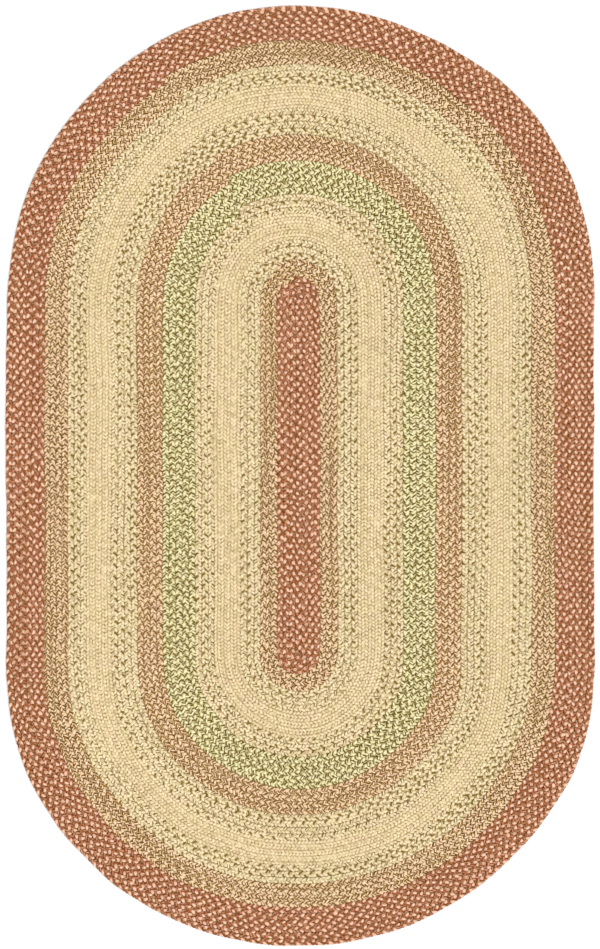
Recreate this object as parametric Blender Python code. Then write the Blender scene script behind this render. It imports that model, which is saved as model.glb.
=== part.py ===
"""Oval braided rug, about 5 x 8 ft: one long flat braid wound round a straight centre strip.

Twelve lengths of braid, one for each round of colour, are laid end to end and laced side by side.
Each length is one solid: its turns are fused, and each turn stands up as a rounded row with a
groove on either side. The rug lies flat on Z = 0, with its length along Y and its middle at the
origin. The braid starts at the bottom end of the centre strip and runs outwards anticlockwise,
seen from above. Every change of colour, and the thinned tail at the rim, lies on one seam.
"""

import math
from collections import namedtuple

import bmesh
import bpy

MM = 0.001

# Driving sizes, in metres.
STRAIGHT = 0.911  # from the centre of the top U-turns to the centre of the bottom ones
THICKNESS = 9.5 * MM  # crest of a row above the floor
GROOVE = 6.0 * MM  # bottom of the groove between two rows above the floor
RIM_HEIGHT = 4.8 * MM  # where the rim is widest
RIM_TUCK = 2.2 * MM  # how far the foot of the rim lies inside its widest line
GAP = 0.3 * MM  # between neighbouring lengths of braid

# The seam and the tail, as angles round the top U-turns, anticlockwise from +X, in degrees.
SEAM_ANGLE = 120
TAIL_THINS_FROM = 45
TAIL_THIN_AT = 66
TAIL_SHARE = 0.37  # width of the tail, where one strand of the three is left
TAIL_TAPERS_FROM = 104
TAIL_END_SHARE = 0.1  # width of the tail's end, at the seam
TAIL_LEAST_HEIGHT = 0.62  # height of the tail's crest at no width, as a share of a row's

# The lengths of braid from the centre out. turns: how often it goes round from seam to seam.
# row_mm: width of one row. arc_steps: straight edges that draw each half-circle.
Braid = namedtuple("Braid", "name turns row_mm arc_steps colour")
BRAIDS = (
    Braid("braid_01_red", 3, 15.7, 12, "red"),
    Braid("braid_02_tan", 3, 14.6, 12, "tan"),
    Braid("braid_03_fleck", 3, 17.7, 12, "fleck"),
    Braid("braid_04_cream", 4, 16.8, 24, "cream"),
    Braid("braid_05_fleck", 3, 16.9, 24, "fleck"),
    Braid("braid_06_green", 5, 16.7, 24, "green"),
    Braid("braid_07_rust", 4, 16.7, 24, "rust"),
    Braid("braid_08_fleck", 4, 17.1, 24, "fleck"),
    Braid("braid_09_cream", 4, 15.5, 24, "cream"),
    Braid("braid_10_fleck", 3, 17.0, 24, "fleck"),
    Braid("braid_11_tan", 4, 14.8, 24, "tan"),
    Braid("braid_12_red", 6, 16.8, 24, "red"),
)
TURNS = sum(braid.turns for braid in BRAIDS)

# Where one row width gives way to the next, in rows past a length's last turn on the seam side.
# The other side has one row more, so this is midway. The border's width holds to its last row.
WIDTH_CHANGES_AFTER = 0.5
BORDER_HOLDS_FOR = 2
TINY = 1e-6

# How far the rim stands out from the true oval, by the angle round its U-turn.
Bulge = namedtuple("Bulge", "angle proud_mm")
BULGES = (
    Bulge(0, 1.5),
    Bulge(12, 6.5),
    Bulge(30, 12.5),
    Bulge(42, 11.5),
    Bulge(50, 4.5),
    Bulge(72, 4),
    Bulge(102, 6),
    Bulge(118, 3),
    Bulge(138, -0.5),
    Bulge(156, -5.5),
    Bulge(168, -9),
    Bulge(180, -4.5),
    Bulge(187, -2.5),
    Bulge(198, 8.5),
    Bulge(210, 10),
    Bulge(217, 6),
    Bulge(240, 4.5),
    Bulge(252, -1.5),
    Bulge(270, -3.5),
    Bulge(288, -3),
    Bulge(300, -1),
    Bulge(309, 3),
    Bulge(318, 2),
    Bulge(328, 6),
    Bulge(336, 16),
    Bulge(343, 14),
    Bulge(354, 2.5),
    Bulge(360, 1.5),
)

# Mean colour of each yarn mix, linear RGB.
COLOURS = {
    "red": (0.478, 0.227, 0.129),
    "tan": (0.527, 0.337, 0.181),
    "fleck": (0.651, 0.515, 0.287),
    "cream": (0.761, 0.584, 0.328),
    "green": (0.539, 0.456, 0.223),
    "rust": (0.539, 0.342, 0.184),
}
YARN_ROUGHNESS = 0.9
SHARP_EDGE = math.radians(50)


def between(x, points):
    """Straight-line interpolation in a list of (x, y), held level past both ends."""
    if x <= points[0][0]:
        return points[0][1]
    for (x0, y0), (x1, y1) in zip(points, points[1:]):
        if x <= x1:
            return y0 + (y1 - y0) * (x - x0) / (x1 - x0)
    return points[-1][1]


def reach_table():
    """(rows, reach): how far each change of row width lies from the centre line."""
    table, rows, reach, turns = [(0, 0)], 0, 0, 0
    for braid in BRAIDS:
        turns += braid.turns
        last = turns + (BORDER_HOLDS_FOR if turns == TURNS else WIDTH_CHANGES_AFTER)
        reach += (last - rows) * braid.row_mm * MM
        rows = last
        table.append((rows, reach))
    return table


REACHES = reach_table()
BULGE_AT = [(bulge.angle, bulge.proud_mm * MM) for bulge in BULGES]
TAIL_WIDTHS = [
    (TAIL_THINS_FROM, 1),
    (TAIL_THIN_AT, TAIL_SHARE),
    (TAIL_TAPERS_FROM, TAIL_SHARE),
    (SEAM_ANGLE, TAIL_END_SHARE),
]


def corner(steps, station):
    """(turn, angle, on the top U-turn) of a station, of which each turn has 2 * steps + 2."""
    turn, i = divmod(station, 2 * steps + 2)
    if i == 0:
        return turn - 1, 360, False
    if i <= steps + 1:
        return turn, (i - 1) * 180 / steps, True
    return turn, 180 + (i - steps - 2) * 180 / steps, False


def place(steps, station, across=0, out=0, along=0):
    """A point of the spiral. across: 0 at a turn's inner groove, 0.5 on its crest. out, along:
    shifts away from the centre and forwards along the braid."""
    turn, angle, on_top = corner(steps, station)
    rows = turn + across
    if on_top and rows > TURNS:
        rows = TURNS + (rows - TURNS) * between(angle, TAIL_WIDTHS)
    inner, outer = between(rows, REACHES), between(rows + 1, REACHES)
    if on_top:
        middle, radius, grown = 0, inner, rows
    else:
        middle, radius, grown = (outer - inner) / 2, (outer + inner) / 2, rows + angle / 180 - 1
    radius += between(angle, BULGE_AT) * (grown / (TURNS + 1)) ** 2 + out
    turn_angle = math.radians(angle)
    x = middle + radius * math.cos(turn_angle) - along * math.sin(turn_angle)
    y = radius * math.sin(turn_angle) + along * math.cos(turn_angle)
    return x, y + (STRAIGHT / 2 if on_top else -STRAIGHT / 2)


def on_chord(steps, coarse_steps, station):
    """True where a coarser neighbour has no corner of its own beside this station."""
    angle = corner(steps, station)[1]
    return (angle % 180) % (180 / coarse_steps) > TINY


def rug_middle():
    """Middle of the rim's box, which is put at the origin."""
    steps = BRAIDS[-1].arc_steps
    per_turn = 2 * steps + 2
    seam = 1 + steps * SEAM_ANGLE // 180
    first = TURNS * per_turn + seam
    rim = [place(steps, s) for s in range(first, first + per_turn + 1)]
    return [(min(axis) + max(axis)) / 2 for axis in zip(*rim)]


MIDDLE = rug_middle()


class Strip:
    """The mesh of one length of braid, from one seam station to another."""

    def __init__(self, braid, turns_before, inner_steps):
        self.steps = braid.arc_steps
        self.inner_steps = inner_steps
        self.per_turn = 2 * self.steps + 2
        seam = 1 + self.steps * SEAM_ANGLE // 180
        self.is_first = turns_before == 0
        self.is_last = turns_before + braid.turns == TURNS
        self.start = 0 if self.is_first else turns_before * self.per_turn + seam
        self.end = (turns_before + braid.turns) * self.per_turn + seam
        self.bm = bmesh.new()
        self.made = {}

    def vert(self, kind, station, xy, z):
        if (kind, station) not in self.made:
            x, y = xy
            self.made[kind, station] = self.bm.verts.new((x - MIDDLE[0], y - MIDDLE[1], z))
        return self.made[kind, station]

    def groove_xy(self, station, tuck=0):
        """The groove line; where it is the strip's edge, it leaves half the gap."""
        on_inner = not self.is_first and station <= self.start + self.per_turn
        on_outer = station >= self.end
        if on_inner and on_chord(self.steps, self.inner_steps, station):
            ends = [self.groove_xy(station + side) for side in (-1, 1)]
            return [sum(axis) / 2 for axis in zip(*ends)]
        out = GAP / 2 if on_inner else -GAP / 2 if on_outer and not self.is_last else 0
        along = 0
        if not self.is_first and station in (self.start, self.start + self.per_turn):
            along = GAP / 2
        if not self.is_last and station in (self.end, self.end + self.per_turn):
            along = -GAP / 2
        return place(self.steps, station, 0, out - tuck, along)

    def groove(self, station):
        on_rim = self.is_last and station > self.end
        height = RIM_HEIGHT if on_rim else GROOVE
        return self.vert("groove", station, self.groove_xy(station), height)

    def foot(self, station):
        on_rim = self.is_last and station >= self.end
        xy = self.groove_xy(station, RIM_TUCK if on_rim else 0)
        return self.vert("foot", station, xy, 0)

    def crest(self, station):
        along = 0
        if station == self.start and not self.is_first:
            along = GAP / 2
        if station == self.end and not self.is_last:
            along = -GAP / 2
        turn, angle, on_top = corner(self.steps, station)
        share = between(angle, TAIL_WIDTHS) if on_top and turn == TURNS else 1
        height = THICKNESS * (TAIL_LEAST_HEIGHT + (1 - TAIL_LEAST_HEIGHT) * share)
        return self.vert("crest", station, place(self.steps, station, 0.5, 0, along), height)

    def face(self, *verts):
        self.bm.faces.new(verts)

    def rows(self):
        """The raised rows: two slopes between each groove and the next."""
        for i in range(self.start, self.end):
            j = i + self.per_turn
            self.face(self.groove(i), self.crest(i), self.crest(i + 1), self.groove(i + 1))
            self.face(self.crest(i), self.groove(j), self.groove(j + 1), self.crest(i + 1))

    def round_start(self):
        """The braid's first end, a half-round between the centre strip and its first turn."""
        for i in range(self.steps + 2, self.per_turn):
            self.face(self.groove(i), self.groove(i + 1), self.crest(0))

    def end_faces(self):
        """The upright ends at the seam, each beside the next length's end."""
        i, j = self.end, self.end + self.per_turn
        self.face(self.foot(i), self.groove(i), self.crest(i), self.groove(j), self.foot(j))
        if not self.is_first:
            i, j = self.start, self.start + self.per_turn
            self.face(self.foot(i), self.foot(j), self.groove(j), self.crest(i), self.groove(i))

    def sides(self):
        for i in range(self.end, self.end + self.per_turn):
            self.face(self.foot(i), self.foot(i + 1), self.groove(i + 1), self.groove(i))
        if not self.is_first:
            for i in range(self.start, self.start + self.per_turn):
                self.face(self.foot(i), self.groove(i), self.groove(i + 1), self.foot(i + 1))

    def underside(self):
        """The flat base: one face under the centre, and sectors from edge to edge elsewhere."""
        if self.is_first:
            loop = [self.foot(i) for i in range(self.end, self.end + self.per_turn + 1)]
            self.face(*reversed(loop))
            return
        span = self.end - self.start
        for i in range(self.start, self.start + self.per_turn):
            ring = [self.foot(i), self.foot(i + 1), self.foot(i + 1 + span), self.foot(i + span)]
            if i == self.start:
                ring.append(self.foot(i + self.per_turn))
            if i + 1 == self.start + self.per_turn:
                ring.insert(2, self.foot(self.end))
            self.face(*ring)

    def mesh(self, name):
        self.rows()
        self.end_faces()
        self.sides()
        self.underside()
        if self.is_first:
            self.round_start()
            bmesh.ops.remove_doubles(self.bm, verts=self.bm.verts, dist=TINY)
        mesh = bpy.data.meshes.new(name)
        self.bm.to_mesh(mesh)
        self.bm.free()
        mesh.shade_smooth()
        mesh.set_sharp_from_angle(angle=SHARP_EDGE)
        return mesh


def yarn_material(colour):
    """A matt yarn of one colour mix, shared by all the lengths that have it."""
    if colour in bpy.data.materials:
        return bpy.data.materials[colour]
    material = bpy.data.materials.new(colour)
    material.use_nodes = True
    shader = material.node_tree.nodes["Principled BSDF"]
    shader.inputs["Base Color"].default_value = (*COLOURS[colour], 1)
    shader.inputs["Roughness"].default_value = YARN_ROUGHNESS
    shader.inputs["Metallic"].default_value = 0
    return material


def main():
    for obj in list(bpy.data.objects):
        bpy.data.objects.remove(obj)
    turns_before, inner_steps = 0, BRAIDS[0].arc_steps
    for braid in BRAIDS:
        mesh = Strip(braid, turns_before, inner_steps).mesh(braid.name)
        mesh.materials.append(yarn_material(braid.colour))
        bpy.context.collection.objects.link(bpy.data.objects.new(braid.name, mesh))
        turns_before, inner_steps = turns_before + braid.turns, braid.arc_steps


main()
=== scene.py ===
"""Looks of the oval braided rug.

The rug is one flat three-strand braid, wound anticlockwise round a straight centre strip. Here the
braid is drawn strand by strand: each stretch of a strand that shows on top is a raised lobe, and
the outermost strands are tubes that wrap round the rim. Below them lies the rug's body, a flat
cloth with a row of braid drawn on its underside for each turn. The braid's path and its row widths
are those of the solids.
"""

import math
from collections import namedtuple

import bmesh
import bpy
import numpy as np
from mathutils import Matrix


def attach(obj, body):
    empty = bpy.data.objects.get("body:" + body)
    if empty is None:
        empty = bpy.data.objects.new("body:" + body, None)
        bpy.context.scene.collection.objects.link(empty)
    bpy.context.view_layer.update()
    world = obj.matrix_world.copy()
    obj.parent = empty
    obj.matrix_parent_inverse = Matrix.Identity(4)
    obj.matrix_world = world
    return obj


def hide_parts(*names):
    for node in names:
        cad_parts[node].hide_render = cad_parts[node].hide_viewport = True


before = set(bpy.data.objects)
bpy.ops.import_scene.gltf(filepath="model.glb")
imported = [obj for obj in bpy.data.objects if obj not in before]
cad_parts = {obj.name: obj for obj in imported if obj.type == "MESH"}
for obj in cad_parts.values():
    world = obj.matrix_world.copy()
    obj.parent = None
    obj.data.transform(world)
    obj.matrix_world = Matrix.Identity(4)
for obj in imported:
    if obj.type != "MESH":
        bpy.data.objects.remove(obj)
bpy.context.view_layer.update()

MM = 0.001
TINY = 1e-6  # points and places that are nearer than this are the same
SEED = 46

# The braid's path, with the sizes of the solids: metres, and degrees round the U-turns,
# anticlockwise from +X. A place along it is its travel: legs of the spiral since the braid's start.
STRAIGHT = 0.911  # from the centre of the top U-turns to the centre of the bottom ones
SEAM_ANGLE = 120  # where every change of colour and the braid's end lie, round the top U-turn
LEGS = 4
RIGHT, TOP, LEFT, BOTTOM = range(LEGS)  # the legs of each turn: a side, a U-turn, a side, a U-turn
ROW_MIDDLE = 0.5  # across a row, where 0 is its inner groove and 1 its outer one
ROUTE_STEPS = 96  # of each U-turn, for measuring the braid's length
SOLID_STEPS = 24  # straight edges of each U-turn on the solids' rim

# The tail, where the last row thins: angles round the top U-turn, and the row's width there, as a
# share of its full width.
TAIL_WIDTHS = ((45, 66, 104, SEAM_ANGLE), (1, 0.37, 0.37, 0.1))
TAIL_ONE_EDGE = 0.7  # below this share only the last row's outer edge shows
TAIL_SINK = 1.3 * MM  # how much lower the row would lie where it has no width left

# The lengths of braid from the centre out. name: the solid it stands for. turns: rounds from seam
# to seam. row_mm: width of one row. lobe_mm: from one lobe of an edge to the next, of which each
# strand has every third. mix: its yarns.
Braid = namedtuple("Braid", "name turns row_mm lobe_mm mix")
BRAIDS = (
    Braid("braid_01_red", 3, 15.7, 9.53, "red"),
    Braid("braid_02_tan", 3, 14.6, 9.53, "tan"),
    Braid("braid_03_fleck", 3, 17.7, 9.92, "fleck"),
    Braid("braid_04_cream", 4, 16.8, 9.66, "cream"),
    Braid("braid_05_fleck", 3, 16.9, 9.92, "fleck"),
    Braid("braid_06_green", 5, 16.7, 9.92, "green"),
    Braid("braid_07_rust", 4, 16.7, 9.66, "rust"),
    Braid("braid_08_fleck", 4, 17.1, 9.92, "fleck"),
    Braid("braid_09_cream", 4, 15.5, 9.66, "cream"),
    Braid("braid_10_fleck", 3, 17.0, 9.92, "fleck"),
    Braid("braid_11_tan", 4, 14.8, 9.53, "tan"),
    Braid("braid_12_red", 6, 16.8, 9.53, "red"),
)
TURNS = sum(braid.turns for braid in BRAIDS)

# Where one row width gives way to the next, in rows past a length's last turn on the seam side.
# The other side has one row more, so this is midway. The border's width holds to its last row.
WIDTH_CHANGES_AFTER = 0.5
BORDER_HOLDS_FOR = 2

# How far the rim stands out from the true oval: angles round its U-turns, and millimetres. The
# rows inside it follow its bulges less and less, with this power of their number.
BULGES = np.array([
    (0, 1.5), (12, 6.5), (30, 12.5), (42, 11.5), (50, 4.5), (72, 4), (102, 6), (118, 3), (138, -0.5),
    (156, -5.5), (168, -9), (180, -4.5), (187, -2.5), (198, 8.5), (210, 10), (217, 6), (240, 4.5),
    (252, -1.5), (270, -3.5), (288, -3), (300, -1), (309, 3), (318, 2), (328, 6), (336, 16), (343, 14),
    (354, 2.5), (360, 1.5),
]).T
BULGE_POWER = 2

# The rows drift a little to the side, as hand-laced rows do: a few slow waves across the rug, with
# lengths in metres.
WAVES = 9
WAVE_LENGTHS = (0.13, 0.5)
WAVE_HEIGHT = 0.55 * MM

# The braid is pulled tighter here and looser there, so its lobes drift from those of the next row.
# It is a sum of waves along the braid, with lengths in metres.
PULLS = 10
PULL_LENGTHS = (1.5, 7)
PULL = 0.02  # how much longer or shorter it makes the braid, as a standard deviation

# The strands, in metres. They weave about the middle of the rug's thickness.
STRANDS = 3
QUAD = 4  # corners of each of a strand's faces
OUTER, INNER = 1, -1  # a row's two edges
EDGE_STARTS = {OUTER: 0.25, INNER: 0.75}  # how far along an edge's first lobe lies, in lobes
HALF_WIDTH = 3.85 * MM
HALF_HEIGHT = 2.35 * MM
MIDDLE_HEIGHT = 4.75 * MM  # of the weave, above the floor
WEAVE_RISE = 2.4 * MM  # how far a strand's middle rises and falls from there
LOWEST = 0.2 * MM  # the least height of any point of a strand

# The two forms of a strand where it shows. sections: degrees of the weave, width share,
# millimetres lower, and the place between the two ends, 0 and 1, where it goes out of sight and the
# shader paints shade on it.
# around: degrees round a section, from its inner to its outer side. beyond: how far the strand
# reaches past its row's width, in between the next row's strands. freedom: its share of the lean
# and the stray that are set below.
Form = namedtuple("Form", "sections around beyond freedom")
LOBE = Form(
    sections=((-19, 0.62, 0.9, 0), (12, 1, 0, 0.28), (62, 1, 0, 0.7), (98, 0.6, 2.0, 1)),
    around=(180, 118, 62, 0),
    beyond=2.3 * MM,
    freedom=1,
)
RIM_LOBE = Form(
    sections=(
        (-19, 0.62, 0.9, 0),
        (12, 1, 0, 0.25),
        (52, 1, 0, 0.45),
        (88, 0.95, 0, 0.6),
        (120, 0.8, 0, 0.9),
        (160, 0.7, 0, 1),
        (200, 0.7, 0, 1),
    ),
    around=(180, 120, 60, 0, -60, -120, -180),
    beyond=0.8 * MM,
    freedom=0.4,
)

# How far each strand's lobes turn from the even weave, in degrees. Below 0 they lie more along the
# braid, and above 0 more across it. A slack strand lies far along it, and a little higher.
LEANS = {
    "red": (-24, -6, -6),
    "tan": (-24, 4, 4),
    "fleck": (-24, -20, 8),
    "cream": (-18, -18, -18),
    "green": (-24, 8, 8),
    "rust": (-24, 4, 4),
}
SLACK_LEAN = -15  # a strand that leans further back than this is slack
SLACK_LIFT = 0.35 * MM
EDGE_SHIFTS = {"cream": 0.75 * MM}  # how far a mix's lobes lie nearer to their row's edge
TWIST_PER_LOBE = 0.04  # how far the strands roll from one lobe to the next, in yarns

# How much the lobes stray from their even places and sizes, as standard deviations
TILT_STRAY = math.radians(7)
SHIFT_STRAY = 0.5 * MM  # along the braid
SHIFT_ASIDE = 0.5  # share of that shift which is left across it
LIFT_STRAY = 0.25 * MM
STRETCH_STRAY = 0.07
SWELL_STRAY = 0.1
TWIST_STRAY = 0.16  # from one lobe to the next, in yarns

# The rug's body, below the strands
ARC_STEPS = 36  # of each U-turn
BODY_TOP = 4.6 * MM
# The lines that draw its underside along each row: the place across the row, and the height
UNDERSIDE = ((0, 1.6 * MM), (0.25, 0.3 * MM), (ROW_MIDDLE, 0), (0.75, 0.3 * MM))
TOP_TUCK = 3.0 * MM  # how far the body's top and foot lie inside the rim
FOOT_TUCK = 4.5 * MM
# Where its rim and its end faces lie on the map of their row: lobes along the row, and the place
# across it
RIM_LOBES = 8  # from one station to the next
RIM_PLACE = 0.8  # of the rim's foot
END_LAY = (0, ROW_MIDDLE)
START_LAY = ((0, 0), (0, 0.3), (0, ROW_MIDDLE))
FAN_LAY = ((0, 0), (0.3, 0), (0.1, ROW_MIDDLE))

# Maps for baking colours
CELL_ASPECT = 1.5  # a lobe is this much longer than wide
CELL_MARGIN = 0.07  # inside a lobe's cell, as a share of it
BODY_MARGIN = 0.01
BODY_HALF = 0.5  # where the underside's half of the map begins

YARNS = 6  # round a strand
# How many of them lie across a lobe
VISIBLE = {"red": 2.6, "tan": 2.6, "fleck": 3.2, "cream": 2.4, "green": 2.4, "rust": 2.6}

# The yarns' colours. Each mix has three strands: a colour (0 to 255), and how much lighter each of
# its yarns is.
TONE_WEIGHTS = (0.95, 1.05, 1.25)  # the lighter a yarn, the less yellow it is
RED, ROSE, BROWN = (191, 130, 96), (186, 139, 100), (183, 134, 98)
TAN, PEACH = (202, 171, 122), (205, 171, 127)
FLECK, CREAM = (226, 209, 167), (232, 213, 172)
GREEN = (201, 190, 135)
MIXES = {
    "red": (
        (ROSE, (64, 52, 63, 25, 62, 48)),
        (RED, (-42, 14, -35, 2, -45, -5)),
        (BROWN, (-60, 15, -50, -5, -58, 8)),
    ),
    "tan": (
        (PEACH, (38, 43, 30, 40, -66, 42)),
        (TAN, (-101, 40, -95, 34, -98, 42)),
        (TAN, (36, -92, 42, -86, 34, -51)),
    ),
    "fleck": (
        (FLECK, (12, 18, 14, 8, 17, 14)),
        (CREAM, (8, -22, 12, -28, 9, 8)),
        (FLECK, (13, -100, -92, 15, 16, -83)),
    ),
    "cream": (
        (CREAM, (9, 3, -11, 9, 4, 9)),
        (CREAM, (-15, 7, 6, -11, 9, 3)),
        (CREAM, (7, -9, 9, 2, -18, 9)),
    ),
    "green": (
        (GREEN, (42, 37, 42, 33, 42, 37)),
        (GREEN, (-99, 41, -89, 43, -75, 39)),
        (GREEN, (-105, 14, -96, 39, -100, 26)),
    ),
    "rust": (
        (PEACH, (42, 35, 43, -51, 40, 34)),
        (PEACH, (-86, 39, -77, 34, -82, 16)),
        (TAN, (39, -80, 42, -65, 42, -72)),
    ),
}

# Noises over the rug: scale and detail
DRIFT_NOISE, HEATHER_NOISE, GRAIN_NOISE = (28, 2), (420, 3), (1600, 2)
# Noises on a lobe: stretch along it, across its yarns, and from lobe to lobe
STRAY_STRETCH, FIBRE_STRETCH = (7, 2.5, 60), (1.2, 7, 90)
LOBE_DETAIL = 2
STRAY = (0.5, -0.25)  # times the noise, and added: how far a yarn strays from its place, in yarns
PLY_TURNS = 6  # twists of a yarn's plies in a lobe's length
CREASE_POWER = 5  # how narrow the crease between two yarns is, where painted shade falls

# A yarn's light is a product of parts: some are its own tone, and some are painted shade. Each is a
# value from 0 to 1 times the first number, plus the second.
HEATHER_LIGHT = (0.28, 0.85)
LOBE_LIGHT = (0.08, 0.955)
FIBRE_LIGHT = (0.2, 0.905)
# painted shade in the crease between two yarns
CREASE_LIGHT = (-0.15, 0.995)
# painted shade between the plies twisted in a yarn, and painted light on their crests
PLY_LIGHT = (0.12, 0.94)
BODY_TOP_LIGHT = (-0.4, 1)  # painted shade on the body's top, deep between the strands
# Shade at a lobe's sides and at its ends: its power of the distance from the middle, and its depth
GROOVE_SHADE, END_SHADE = (4, 0.28), (3.5, 0.28)

TINTS = ((0.97, 1.0, 0.88, 1), (1.04, 0.98, 1.08, 1))  # the drift of a mix along the rug
DEEP_TINT = (1.2, 0.95, 0.4, 1)  # of the light that is left deep between the yarns
# the colour of the painted shade deep between the red mix's yarns
RED_DEEP_TINT = (1.27, 0.91, 0.6, 1)
WHITE = (1, 1, 1, 1)

# Relief by bump, in shares of a yarn's height
GRAIN_RELIEF, FIBRE_RELIEF, PLY_RELIEF, DOME_RELIEF = 0.4, 1.2, 0.7, 5
BUMP_STRENGTH, BUMP_DEPTH = 0.6, 0.35 * MM
DOME_TOP = 1.001  # a little over 1, so that the dome's root is never of a number below 0
# The rest of the surface
CLOTH = {"Roughness": 0.95, "Specular IOR Level": 0.12, "Sheen Weight": 0.05, "Sheen Roughness": 0.5}

# Lobes that are only drawn, on the body's underside
DRAWN_LEAN = 0.75  # how much further back a lobe lies at its row's edge, in lobes
DRAWN_OFFSET = 0.5  # how much further back the outer edge's lobes lie than the inner edge's
DRAWN_STRANDS = 2  # how many strands further on the outer edge's lobes are
SCATTER = 437.5  # the fraction of this times a sine looks random from lobe to lobe

# The studio
LENS, SENSOR = 100, 36  # the camera's, in millimetres
PHOTO_HEIGHT = 949  # in pixels
PIXEL_MM = 2.589  # on the floor
PHOTO_SPAN = PHOTO_HEIGHT * PIXEL_MM * MM
VIEW_MIDDLE = (-0.0002, 0.0031)  # the point of the floor that the camera looks straight down at
WORLD_STRENGTH = 0.815
KEY_STRENGTH = 1.5
KEY_SPREAD, KEY_TILT, KEY_TURN = math.radians(40), math.radians(28), math.radians(45)
FLOOR_HALF = 60  # so far out that no view shows the floor's edge near the rug
FLOOR_DROP = 0.5 * MM
FLOOR_COLOUR, FLOOR_ROUGHNESS = (0.97, 0.97, 0.97, 1), 0.8

# The waves of the rows' drift and of the braid's pulls
rng = np.random.default_rng(SEED)
wave_angle = rng.uniform(0, math.tau, WAVES)
wave_length = rng.uniform(*WAVE_LENGTHS, WAVES)
wave_vector = np.stack([np.cos(wave_angle), np.sin(wave_angle)]) * math.tau / wave_length
wave_shift = rng.uniform(0, math.tau, (2, WAVES))
pull_length = rng.uniform(*PULL_LENGTHS, (PULLS, 1))
pull_shift = rng.uniform(0, math.tau, (PULLS, 1))


def reach_table():
    """(rows, reach): how far each change of row width lies from the centre line."""
    table, rows, reach, turns = [(0, 0)], 0, 0, 0
    for braid in BRAIDS:
        turns += braid.turns
        last = turns + (BORDER_HOLDS_FOR if turns == TURNS else WIDTH_CHANGES_AFTER)
        reach += (last - rows) * braid.row_mm * MM
        rows = last
        table.append((rows, reach))
    return np.array(table).T


def seam_travels():
    """Travel where each length of braid begins, and where the last one ends."""
    seams, turns = [0], 0
    for braid in BRAIDS:
        turns += braid.turns
        seams.append(turns * LEGS + TOP + SEAM_ANGLE / 180)
    return seams


REACHES = reach_table()
SEAMS = seam_travels()
END = SEAMS[-1]


def on_turn(turn, angle, on_top, across):
    """Points on U-turns. turn: how many turns lie inside it. across: 0 at its inner groove, 1 at its
    outer one."""
    rows = turn + across
    thinned = TURNS + (rows - TURNS) * np.interp(angle, *TAIL_WIDTHS)
    rows = np.where(on_top & (rows > TURNS), thinned, rows)
    inner, outer = np.interp(rows, *REACHES), np.interp(rows + 1, *REACHES)
    middle = np.where(on_top, 0, (outer - inner) / 2)
    radius = np.where(on_top, inner, (outer + inner) / 2)
    grown = np.where(on_top, rows, rows + angle / 180 - 1)
    radius = radius + np.interp(angle, *BULGES) * MM * (grown / (TURNS + 1)) ** BULGE_POWER
    around = np.radians(angle)
    x = middle + radius * np.cos(around)
    y = radius * np.sin(around) + np.where(on_top, 1, -1) * STRAIGHT / 2
    return np.stack([x, y], -1)


def place(travel, across):
    """Points of the spiral, before it is centred. A side runs from one U-turn's end to the next
    one's start, and on a U-turn these two are the same point."""
    travel, across = np.broadcast_arrays(travel, across)
    legs = np.floor(travel).astype(int)
    turn, leg = np.divmod(legs, LEGS)
    part = travel - legs
    angle = 180 * np.choose(leg, (2, part, 1, 1 + part))
    begin = on_turn(turn - (leg == RIGHT), angle, (leg == TOP) | (leg == LEFT), across)
    angle = 180 * np.choose(leg, (0, part, 1, 1 + part))
    end = on_turn(turn, angle, (leg == RIGHT) | (leg == TOP), across)
    return begin + (end - begin) * part[..., None]


def stations(first, last, arc_steps):
    """Travel values from first to last: each U-turn in even steps, each side in one."""
    turns = np.arange(int(last // LEGS) + 1)[:, None] * LEGS
    arc = np.arange(arc_steps + 1) / arc_steps
    every = (turns + np.concatenate([[RIGHT], TOP + arc, BOTTOM + arc[:-1]])).ravel()
    inside = every[(every > first + TINY) & (every < last - TINY)]
    return np.concatenate([[first], inside, [last]])


def rug_middle():
    """Middle of the box of the solids' rim."""
    rim = place(stations(END, END + LEGS, SOLID_STEPS), 0)
    return (rim.min(0) + rim.max(0)) / 2


MIDDLE = rug_middle()


def settled(travel, across):
    """Points of the spiral in the frame, with the rows' drift."""
    xy = place(travel, across) - MIDDLE
    phase = xy @ wave_vector
    drift = [np.sin(phase + shift).sum(-1) for shift in wave_shift]
    return xy + WAVE_HEIGHT * np.stack(drift, -1)


def pulled(length):
    """How far the lobes lie from their even places along the braid."""
    waves = np.sin(math.tau * length / pull_length + pull_shift) * pull_length / math.tau
    return PULL * math.sqrt(2 / PULLS) * waves.sum(0)


class Route:
    """Lengths along the braid's centre line, and the travel at each."""

    def __init__(self):
        self.travel = stations(0, END, ROUTE_STEPS)
        steps = np.linalg.norm(np.diff(place(self.travel, ROW_MIDDLE), axis=0), axis=1)
        self.length = np.concatenate([[0], np.cumsum(steps)])

    def length_at(self, travel):
        return np.interp(travel, self.travel, self.length)

    def travel_at(self, length):
        return np.interp(length, self.length, self.travel)


ROUTE = Route()


def add_uv(mesh, name, uv):
    """A map with one (u, v) for each corner of the faces."""
    layer = mesh.uv_layers.new(name=name, do_init=False)
    layer.uv.foreach_set("vector", np.ascontiguousarray(uv, dtype=np.float32).ravel())


def add_values(mesh, name, domain, values):
    made = mesh.attributes.new(name, "FLOAT", domain)
    made.data.foreach_set("value", np.asarray(values, dtype=np.float32))


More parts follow.
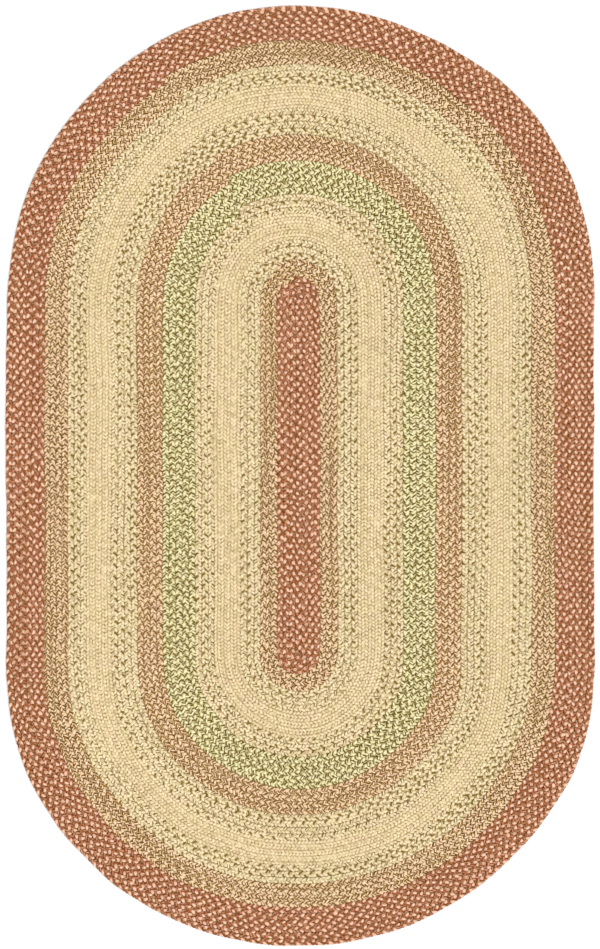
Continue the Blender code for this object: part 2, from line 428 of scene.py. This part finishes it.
class LobeMesh:
    """Collects the lobes of one piece, and makes its mesh in one go."""

    def __init__(self):
        self.points, self.corners, self.uv, self.cell_uv = [], [], [], []
        self.values = {"strand": [], "twist": [], "chance": []}
        self.count = 0

    def add(self, xyz, quads, uv, cell_uv, **values):
        """xyz: (lobes, points, 3). uv, cell_uv: (points, 2). values: one number for each lobe."""
        lobes, size = xyz.shape[:2]
        corner = quads.ravel()
        first = self.count + np.arange(lobes)[:, None] * size
        self.points.append(xyz.reshape(-1, 3))
        self.corners.append((first + corner).ravel())
        self.uv.append(np.tile(uv[corner], (lobes, 1)))
        self.cell_uv.append(np.broadcast_to(cell_uv[corner], (lobes, len(corner), 2)))
        for name, numbers in values.items():
            self.values[name].append(np.repeat(numbers, size))
        self.count += lobes * size

    def packed_uv(self):
        """Each lobe's own cell in a square, for baking its colours."""
        lobes = sum(len(block) for block in self.cell_uv)
        across = max(1, round(math.sqrt(lobes / CELL_ASPECT)))
        down = math.ceil(lobes / across)
        cells, first = [], 0
        for block in self.cell_uv:
            number = first + np.arange(len(block))
            corner = np.stack([number % across, number // across], -1)[:, None]
            inner = CELL_MARGIN + block * (1 - 2 * CELL_MARGIN)
            cells.append(((corner + inner) / (across, down)).reshape(-1, 2))
            first += len(block)
        return np.concatenate(cells)

    def mesh(self, name):
        mesh = bpy.data.meshes.new(name)
        corners = np.concatenate(self.corners)
        mesh.vertices.add(self.count)
        mesh.vertices.foreach_set("co", np.concatenate(self.points).ravel())
        mesh.loops.add(len(corners))
        mesh.loops.foreach_set("vertex_index", corners)
        mesh.polygons.add(len(corners) // QUAD)
        mesh.polygons.foreach_set("loop_start", np.arange(0, len(corners), QUAD))
        add_uv(mesh, "Strand", np.concatenate(self.uv))
        add_uv(mesh, "OFBake", self.packed_uv())
        for attribute, values in self.values.items():
            add_values(mesh, attribute, "POINT", np.concatenate(values))
        mesh.update(calc_edges=True)
        mesh.validate()
        mesh.shade_smooth()
        return mesh


def grid_quads(rows, columns):
    """The faces of a grid of points, as point numbers."""
    first = np.arange(rows - 1)[:, None] * columns + np.arange(columns - 1)
    return first.reshape(-1, 1) + (0, 1, columns + 1, columns)


def lobe_shape(form, braid):
    """(along, aside, z, u, v) of a lobe's points. The weave is a sine whose period is three lobes.
    along, aside: from the middle of the braid, where the sine rises through it."""
    period = STRANDS * braid.lobe_mm * MM
    swing = braid.row_mm * MM / 2 + form.beyond - HALF_WIDTH
    degrees, share, lower, u = np.array(form.sections).T[..., None]
    phase, turned = np.radians(degrees), np.radians(form.around)[None, :]
    heading = np.arctan2(swing * np.cos(phase), period / math.tau)
    reach = HALF_WIDTH * share * np.cos(turned)
    along = period * phase / math.tau - np.sin(heading) * reach
    aside = swing * np.sin(phase) + np.cos(heading) * reach
    height = HALF_HEIGHT * share * np.sin(turned) - lower * MM
    z = MIDDLE_HEIGHT + WEAVE_RISE * np.sin(2 * phase) + height
    v = 1 - np.degrees(turned) / 180
    return along, aside, z, *np.broadcast_arrays(u, v)


def in_tail(travel, across):
    """(across, share) where the last row thins: its outer edge keeps its shape, and the rest slips
    under its neighbour. share: the row's width, of its full one."""
    angle = (travel - TURNS * LEGS - TOP) * 180
    share = np.where(angle > 0, np.interp(angle, *TAIL_WIDTHS), 1)
    left = share + across - 1
    return np.where(left > 0, left / share, left), share


def strayed(along, aside, lean, freedom):
    """(along, aside) of a lobe's points, for each lobe of a group. Each is turned by its lean, and
    then tilted, stretched and shifted a little by chance."""
    lobes = len(lean)
    middle = np.array([along.mean(), aside.mean()])
    forward, outward = along.ravel() - middle[0], aside.ravel() - middle[1]
    tilt = (lean + rng.normal(0, TILT_STRAY, (lobes, 1))) * freedom
    stretch = 1 + rng.normal(0, STRETCH_STRAY, (lobes, 1)) * freedom
    shift = rng.normal(0, SHIFT_STRAY, (2, lobes, 1)) * freedom
    return (
        middle[0] + shift[0] + stretch * (forward * np.cos(tilt) - outward * np.sin(tilt)),
        middle[1] + shift[1] * SHIFT_ASIDE + stretch * (forward * np.sin(tilt) + outward * np.cos(tilt)),
    )


def add_lobes(mesh, braid, edge, form, lengths, strands, twists):
    """Lobes of one edge of the braid, at these lengths along it."""
    along, aside, z, u, v = lobe_shape(form, braid)
    rows, columns = along.shape
    quads = grid_quads(rows, columns)
    if edge == INNER:
        quads = quads[:, ::-1]
    lobes = len(lengths)
    lean = np.array(LEANS[braid.mix])[strands][:, None]
    forward, outward = strayed(along, aside, np.radians(lean), form.freedom)
    swell = rng.normal(1, SWELL_STRAY, (lobes, 1))
    lift = rng.normal(0, LIFT_STRAY, (lobes, 1)) + SLACK_LIFT * (lean < SLACK_LEAN)
    outward = outward + EDGE_SHIFTS.get(braid.mix, 0)
    travel = ROUTE.travel_at(lengths[:, None] + forward)
    across, share = in_tail(travel, ROW_MIDDLE + edge * outward / (braid.row_mm * MM))
    height = MIDDLE_HEIGHT + (z.ravel() - MIDDLE_HEIGHT) * swell
    height += lift - TAIL_SINK * (1 - share)
    height = np.clip(height, LOWEST, None)
    xyz = np.concatenate([settled(travel, across), height[..., None]], -1)
    uv = np.stack([u.ravel(), v.ravel()], -1)
    cell_u, cell_v = np.meshgrid(np.linspace(0, 1, rows), np.linspace(0, 1, columns), indexing="ij")
    cell_uv = np.stack([cell_u.ravel(), cell_v.ravel()], -1)
    mesh.add(xyz, quads, uv, cell_uv, strand=strands, twist=twists, chance=rng.random(lobes))


def strand_numbers(edge, lobe):
    """Which strand a lobe shows: on each edge the three take turns, half a period apart."""
    return (-lobe if edge == OUTER else 1 - lobe) % STRANDS


def braid_mesh(braid, first, last):
    """The lobes of one length of braid, from travel first to last."""
    mesh = LobeMesh()
    begin, end = ROUTE.length_at(first), ROUTE.length_at(last)
    lobe = braid.lobe_mm * MM
    number = np.arange(int((end - begin) / lobe))
    wander = pulled(begin + number * lobe)
    for edge in (OUTER, INNER):
        lengths = begin + (number + EDGE_STARTS[edge]) * lobe + wander
        strands = strand_numbers(edge, number)
        twists = rng.uniform(0, YARNS, STRANDS)[strands] + number * TWIST_PER_LOBE
        twists += rng.normal(0, TWIST_STRAY, len(number)).cumsum()
        travel = ROUTE.travel_at(lengths)
        hidden = (in_tail(travel, 0)[1] < TAIL_ONE_EDGE) & (edge == INNER)
        on_rim = (travel > END - LEGS) & (edge == OUTER)
        for chosen, form in ((~on_rim & ~hidden, LOBE), (on_rim, RIM_LOBE)):
            if chosen.any():
                add_lobes(mesh, braid, edge, form, lengths[chosen], strands[chosen], twists[chosen])
    return mesh.mesh(braid.name)


def linear(colour):
    """A colour (0 to 255) as linear RGB, by the sRGB formula."""
    shares = [channel / 255 for channel in colour]
    return [share / 12.92 if share <= 0.04045 else ((share + 0.055) / 1.055) ** 2.4 for share in shares]


def yarn_colours(mix):
    """The colour (0 to 255) of each yarn, strand by strand."""
    return [
        [min(max(channel + tone * weight, 0), 255) for channel, weight in zip(colour, TONE_WEIGHTS)]
        for colour, tones in MIXES[mix]
        for tone in tones
    ]


def set_stops(ramp, colours):
    """Even bands of constant colour."""
    ramp.interpolation = "CONSTANT"
    while len(ramp.elements) > 1:
        ramp.elements.remove(ramp.elements[-1])
    for i, colour in enumerate(colours):
        stop = ramp.elements[0] if i == 0 else ramp.elements.new(i / len(colours))
        stop.position = i / len(colours)
        stop.color = (*linear(colour), 1)


class Shader:
    """A material's nodes, made one call at a time."""

    def __init__(self, name):
        self.material = bpy.data.materials.new(name)
        self.material.use_nodes = True
        self.tree = self.material.node_tree
        self.surface = self.tree.nodes["Principled BSDF"]

    def node(self, kind, **settings):
        made = self.tree.nodes.new("ShaderNode" + kind)
        for key, value in settings.items():
            setattr(made, key, value)
        return made

    def feed(self, socket, value):
        if isinstance(value, bpy.types.NodeSocket):
            self.tree.links.new(value, socket)
        else:
            socket.default_value = value

    def math(self, operation, *values):
        made = self.node("Math", operation=operation)
        for socket, value in zip(made.inputs, values):
            self.feed(socket, value)
        return made.outputs[0]

    def product(self, values):
        result, *others = values
        for value in others:
            result = self.math("MULTIPLY", result, value)
        return result

    def from_middle(self, part):
        """0 in the middle between 0 and 1, and 1 at both."""
        return self.math("ABSOLUTE", self.math("MULTIPLY_ADD", part, 2, -1))

    def humps(self, value):
        """A round hump, 1 high, between each whole number and the next."""
        return self.math("ABSOLUTE", self.math("SINE", self.math("MULTIPLY", value, math.pi)))

    def shade(self, away, power, depth):
        """The light that is left this far away from a lobe's middle, where 1 is its edge."""
        return self.math("SUBTRACT", 1, self.math("MULTIPLY", self.math("POWER", away, power), depth))

    def attribute(self, name):
        return self.node("Attribute", attribute_name=name).outputs["Fac"]

    def uv(self, name):
        split = self.node("SeparateXYZ")
        self.feed(split.inputs[0], self.node("UVMap", uv_map=name).outputs[0])
        return split.outputs[0], split.outputs[1]

    def noise(self, scale, detail, point=None):
        made = self.node("TexNoise")
        self.feed(made.inputs["Vector"], point or self.node("TexCoord").outputs["Object"])
        self.feed(made.inputs["Scale"], scale)
        self.feed(made.inputs["Detail"], detail)
        return made.outputs["Fac"]

    def lobe_noise(self, values, stretches):
        """A noise that follows a strand, over three values, each times its stretch."""
        point = self.node("CombineXYZ")
        for socket, value, stretch in zip(point.inputs, values, stretches):
            self.feed(socket, self.math("MULTIPLY", value, stretch))
        return self.noise(1, LOBE_DETAIL, point.outputs[0])

    def scaled_by(self, colour, factor):
        made = self.node("Mix", data_type="RGBA", blend_type="MULTIPLY")
        self.feed(made.inputs["Factor"], 1.0)
        self.feed(made.inputs["A"], colour)
        self.feed(made.inputs["B"], factor)
        return made.outputs["Result"]

    def mixed(self, factor, a, b):
        made = self.node("Mix", data_type="RGBA")
        self.feed(made.inputs["Factor"], factor)
        self.feed(made.inputs["A"], a)
        self.feed(made.inputs["B"], b)
        return made.outputs["Result"]


def lobe_inputs(shader):
    """(strand, place along, place round the strand, twist, chance) on a lobe, from its own maps."""
    u, v = shader.uv("Strand")
    return shader.attribute("strand"), u, v, shader.attribute("twist"), shader.attribute("chance")


def underside_inputs(shader):
    """The same for the rug's underside, worked out from the lie of the row: lobes that lean forward
    from the row's edges to its middle."""
    along, across = shader.uv("Lay")
    outer = shader.math("GREATER_THAN", across, ROW_MIDDLE)
    to_edge = shader.from_middle(across)
    lean = shader.math("MULTIPLY_ADD", to_edge, DRAWN_LEAN, along)
    lean = shader.math("MULTIPLY_ADD", outer, DRAWN_OFFSET, lean)
    lobe = shader.math("FLOOR", lean)
    v = shader.math("FRACT", lean)
    turned = shader.math("SUBTRACT", shader.math("MULTIPLY", outer, DRAWN_STRANDS), lobe)
    strand = shader.math("FLOORED_MODULO", turned, STRANDS)
    twist = shader.math("MULTIPLY", lobe, TWIST_PER_LOBE)
    chance = shader.math("FRACT", shader.math("MULTIPLY", shader.math("SINE", lobe), SCATTER))
    return strand, to_edge, v, twist, chance


class Yarn:
    """What a material knows of the yarn at a point. u, v: places along and across the lobe. place:
    v counted in yarns. ridge, ply: 1 on the crest of a yarn, and of a ply that is twisted in it.
    from_crest: 0 on the lobe's crest and 1 at its sides."""

    def __init__(self, shader, mix, inputs):
        self.strand, self.u, self.v, twist, self.chance = inputs
        even_place = shader.math("MULTIPLY_ADD", self.v, VISIBLE[mix], twist)
        stray = shader.lobe_noise((self.u, even_place, self.chance), STRAY_STRETCH)
        self.place = shader.math("ADD", even_place, shader.math("MULTIPLY_ADD", stray, *STRAY))
        self.fibre = shader.lobe_noise((self.u, self.place, self.chance), FIBRE_STRETCH)
        turn = shader.math("MULTIPLY_ADD", self.u, PLY_TURNS, shader.math("ADD", self.place, stray))
        self.ply = shader.humps(turn)
        self.ridge = shader.humps(self.place)
        self.from_crest = shader.from_middle(self.v)


def yarn_colour(shader, mix, yarn):
    """The yarn's own colour, with the mix's drift along the rug."""
    in_strand = shader.math("FLOORED_MODULO", shader.math("FLOOR", yarn.place), YARNS)
    number = shader.math("MULTIPLY_ADD", yarn.strand, YARNS, in_strand)
    colours = yarn_colours(mix)
    ramp = shader.node("ValToRGB")
    set_stops(ramp.color_ramp, colours)
    band_middle = shader.math("ADD", number, 0.5)
    shader.feed(ramp.inputs[0], shader.math("DIVIDE", band_middle, len(colours)))
    return shader.scaled_by(ramp.outputs[0], shader.mixed(shader.noise(*DRIFT_NOISE), *TINTS))


def yarn_light(shader, yarn, on_underside):
    """How light the yarn is at a point: its heathering and fibres, and painted shade in its creases,
    between its plies, on the body's top and at a lobe's sides and ends.
    """
    # 1 in the crease between two yarns, where painted shade darkens the colour
    crease = shader.math("POWER", shader.math("SUBTRACT", 1, yarn.ridge), CREASE_POWER)
    parts = [
        (shader.noise(*HEATHER_NOISE), HEATHER_LIGHT),
        (yarn.chance, LOBE_LIGHT),
        (yarn.fibre, FIBRE_LIGHT),
        (crease, CREASE_LIGHT),
        (yarn.ply, PLY_LIGHT),
    ]
    # the body's top shows only deep between the strands, and gets painted shade there
    if on_underside:
        parts.append((shader.attribute("deep"), BODY_TOP_LIGHT))
    lights = [shader.math("MULTIPLY_ADD", value, *light) for value, light in parts]
    lights.append(shader.shade(yarn.from_crest, *GROOVE_SHADE))
    lights.append(shader.shade(shader.from_middle(yarn.u), *END_SHADE))
    return shader.product(lights)


def yarn_bump(shader, yarn, on_underside):
    """The small relief of yarns, plies and fibres. A lobe that is only drawn is domed by it too."""
    height = shader.math("MULTIPLY_ADD", shader.noise(*GRAIN_NOISE), GRAIN_RELIEF, yarn.ridge)
    height = shader.math("MULTIPLY_ADD", yarn.fibre, FIBRE_RELIEF, height)
    height = shader.math("MULTIPLY_ADD", yarn.ply, PLY_RELIEF, height)
    if on_underside:
        sunk = shader.math("POWER", yarn.from_crest, 2)
        dome = shader.math("SQRT", shader.math("SUBTRACT", DOME_TOP, sunk))
        height = shader.math("MULTIPLY_ADD", dome, DOME_RELIEF, height)
    bump = shader.node("Bump")
    shader.feed(bump.inputs["Strength"], BUMP_STRENGTH)
    shader.feed(bump.inputs["Distance"], BUMP_DEPTH)
    shader.feed(bump.inputs["Height"], height)
    return bump.outputs[0]


def yarn_material(mix, on_underside=False):
    shader = Shader(f"{mix}_underside" if on_underside else f"{mix}_yarn")
    yarn = Yarn(shader, mix, underside_inputs(shader) if on_underside else lobe_inputs(shader))
    light = yarn_light(shader, yarn, on_underside)
    # painted shade: where the yarn's light is low, its colour turns towards the deep tint
    tint = shader.mixed(light, RED_DEEP_TINT if mix == "red" else DEEP_TINT, WHITE)
    colour = shader.scaled_by(yarn_colour(shader, mix, yarn), tint)
    shader.feed(shader.surface.inputs["Base Color"], shader.scaled_by(colour, light))
    shader.feed(shader.surface.inputs["Normal"], yarn_bump(shader, yarn, on_underside))
    for name, value in CLOTH.items():
        shader.surface.inputs[name].default_value = value
    return shader.material


def add_object(name, data, *materials):
    for material in materials:
        data.materials.append(material)
    made = bpy.data.objects.new(name, data)
    bpy.context.collection.objects.link(made)
    return made


def braid_pieces():
    pieces = []
    yarns = {mix: yarn_material(mix) for mix in MIXES}
    for braid, first, last in zip(BRAIDS, SEAMS, SEAMS[1:]):
        mesh = braid_mesh(braid, first, last)
        piece = add_object(f"{braid.name}_strands", mesh, yarns[braid.mix])
        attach(piece, "root")
        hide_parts(braid.name)
        pieces.append(piece)
    return pieces


class Body:
    """The closed cloth below the strands. Its underside has a rounded row for each turn of the braid,
    its top is flat, and both are strips of quads from each groove to the next. A station is a place
    along the spiral, and end is the one where the braid ends."""

    def __init__(self):
        self.travel = stations(0, END + LEGS, ARC_STEPS)
        self.per_turn = 2 * ARC_STEPS + 2
        self.end = len(self.travel) - 1 - self.per_turn
        self.length = ROUTE.length_at(self.travel)
        self.points, self.faces, self.lay, self.mix = [], [], [], []
        self.foot = self.line(*UNDERSIDE[0], FOOT_TUCK)
        self.rows = [self.line(across, z) for across, z in UNDERSIDE[1:]]
        self.top = self.line(0, BODY_TOP, TOP_TUCK)

    def line(self, across, z, rim_tuck=0):
        """Numbers of new points along a line of the spiral. rim_tuck: how far the rim's lie inwards."""
        on_rim = np.arange(len(self.travel)) >= self.end
        across = across - on_rim * rim_tuck / (BRAIDS[-1].row_mm * MM)
        first = len(self.points)
        self.points += [(x, y, z) for x, y in settled(self.travel, across).tolist()]
        return range(first, len(self.points))

    def face(self, corners, lay, mix):
        """lay: lobes along the row and the place across it, for each corner."""
        self.faces.append(corners)
        self.lay.append(lay)
        self.mix.append(mix)

    def strips(self):
        """Each row's quads, over and under, from one station to the next."""
        for i in range(self.end):
            number = max(k for k, seam in enumerate(SEAMS) if seam <= self.travel[i] + TINY)
            braid, start = BRAIDS[number], ROUTE.length_at(SEAMS[number])
            near, far = ((self.length[k] - start) / (braid.lobe_mm * MM) for k in (i, i + 1))
            j = i + self.per_turn
            self.face(
                (self.top[i], self.top[j], self.top[j + 1], self.top[i + 1]),
                ((near, 0), (near, 1), (far, 1), (far, 0)),
                braid.mix,
            )
            lines = [self.foot[i:i + 2], *(row[i:i + 2] for row in self.rows), self.foot[j:j + 2]]
            places = [*(across for across, z in UNDERSIDE), 1]
            for inner, outer, a, b in zip(lines, lines[1:], places, places[1:]):
                self.face(
                    (inner[0], inner[1], outer[1], outer[0]),
                    ((near, a), (far, a), (far, b), (near, b)),
                    braid.mix,
                )

    def rim(self):
        """The rim, and the upright end of the last row."""
        mix = BRAIDS[-1].mix
        first, last = self.end, self.end + self.per_turn
        for i in range(first, last):
            near, far = (i - first) * RIM_LOBES, (i + 1 - first) * RIM_LOBES
            self.face(
                (self.foot[i], self.foot[i + 1], self.top[i + 1], self.top[i]),
                ((near, RIM_PLACE), (far, RIM_PLACE), (far, 1), (near, 1)),
                mix,
            )
        underside = (row[first] for row in self.rows[::-1])
        corners = (self.top[first], self.top[last], self.foot[last], *underside, self.foot[first])
        self.face(corners, (END_LAY,) * len(corners), mix)

    def start(self):
        """The round start of the first row, along its bottom U-turn."""
        mix = BRAIDS[0].mix
        arc = range(ARC_STEPS + 2, self.per_turn + 1)  # that U-turn's stations
        near_side, hub, far_side = (row[0] for row in self.rows)
        self.face(tuple(self.top[i] for i in arc), (END_LAY,) * len(arc), mix)
        for i in arc[:-1]:
            self.face((self.foot[i + 1], self.foot[i], hub), FAN_LAY, mix)
        self.face((self.foot[arc[0]], near_side, hub), START_LAY, mix)
        self.face((hub, far_side, self.foot[arc[-1]]), START_LAY, mix)

    def on_top(self, face):
        return all(point in self.top for point in face)

    def bake_uv(self):
        """The body as seen from above: its top in one half of a square, the rest in the other."""
        xy = np.array(self.points)[:, :2]
        low, high = xy.min(0), xy.max(0)
        spread = BODY_MARGIN + (1 - 2 * BODY_MARGIN) * (xy - low) / (high - low)
        corners = []
        for face in self.faces:
            half = 0 if self.on_top(face) else BODY_HALF
            corners += [(half + u / 2, v) for u, v in spread[list(face)]]
        return corners

    def mesh(self, mixes):
        self.strips()
        self.rim()
        self.start()
        mesh = bpy.data.meshes.new("rug_body")
        mesh.from_pydata(self.points, [], self.faces)
        mesh.polygons.foreach_set("material_index", [mixes.index(mix) for mix in self.mix])
        add_uv(mesh, "Lay", [corner for lay in self.lay for corner in lay])
        add_uv(mesh, "OFBake", self.bake_uv())
        # deep: 1 on the body's top, which the shader darkens with painted shade
        add_values(mesh, "deep", "FACE", [self.on_top(face) for face in self.faces])
        weld(mesh)
        mesh.shade_smooth()
        return mesh


def weld(mesh):
    """Joins the points that lie on each other, where the first turn closes on itself, and drops those
    past the rim, which no face uses."""
    made = bmesh.new()
    made.from_mesh(mesh)
    bmesh.ops.remove_doubles(made, verts=made.verts, dist=TINY)
    loose = [point for point in made.verts if not point.link_faces]
    bmesh.ops.delete(made, geom=loose, context="VERTS")
    made.to_mesh(mesh)
    made.free()


def body_piece():
    mixes = list(MIXES)
    mesh = Body().mesh(mixes)
    piece = add_object("rug_body", mesh, *(yarn_material(mix, True) for mix in mixes))
    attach(piece, "root")


def floor():
    shader = Shader("floor")
    shader.surface.inputs["Base Color"].default_value = FLOOR_COLOUR
    shader.surface.inputs["Roughness"].default_value = FLOOR_ROUGHNESS
    mesh = bpy.data.meshes.new("floor")
    corners = [(x * FLOOR_HALF, y * FLOOR_HALF, 0) for x, y in ((-1, -1), (1, -1), (1, 1), (-1, 1))]
    mesh.from_pydata(corners, [], [(0, 1, 2, 3)])
    plane = add_object("floor", mesh, shader.material)
    plane.location.z = -FLOOR_DROP


def camera():
    """Looks straight down, from where the photo's long side spans PHOTO_SPAN on the floor."""
    data = bpy.data.cameras.new("camera")
    data.lens, data.sensor_width = LENS, SENSOR
    eye = add_object("camera", data)
    eye.location = (*VIEW_MIDDLE, PHOTO_SPAN * LENS / SENSOR)
    bpy.context.scene.camera = eye


def lights():
    """One wide key light, and light from all round."""
    key = bpy.data.lights.new("key", "SUN")
    key.energy, key.angle = KEY_STRENGTH, KEY_SPREAD
    add_object("key", key).rotation_euler = (KEY_TILT, 0, KEY_TURN)
    world = bpy.data.worlds.new("studio")
    world.use_nodes = True
    background = world.node_tree.nodes["Background"]
    background.inputs["Color"].default_value = WHITE
    background.inputs["Strength"].default_value = WORLD_STRENGTH
    bpy.context.scene.world = world


bpy.context.scene.view_settings.view_transform = "Standard"
strand_pieces = braid_pieces()
body_piece()
floor()
camera()
lights()
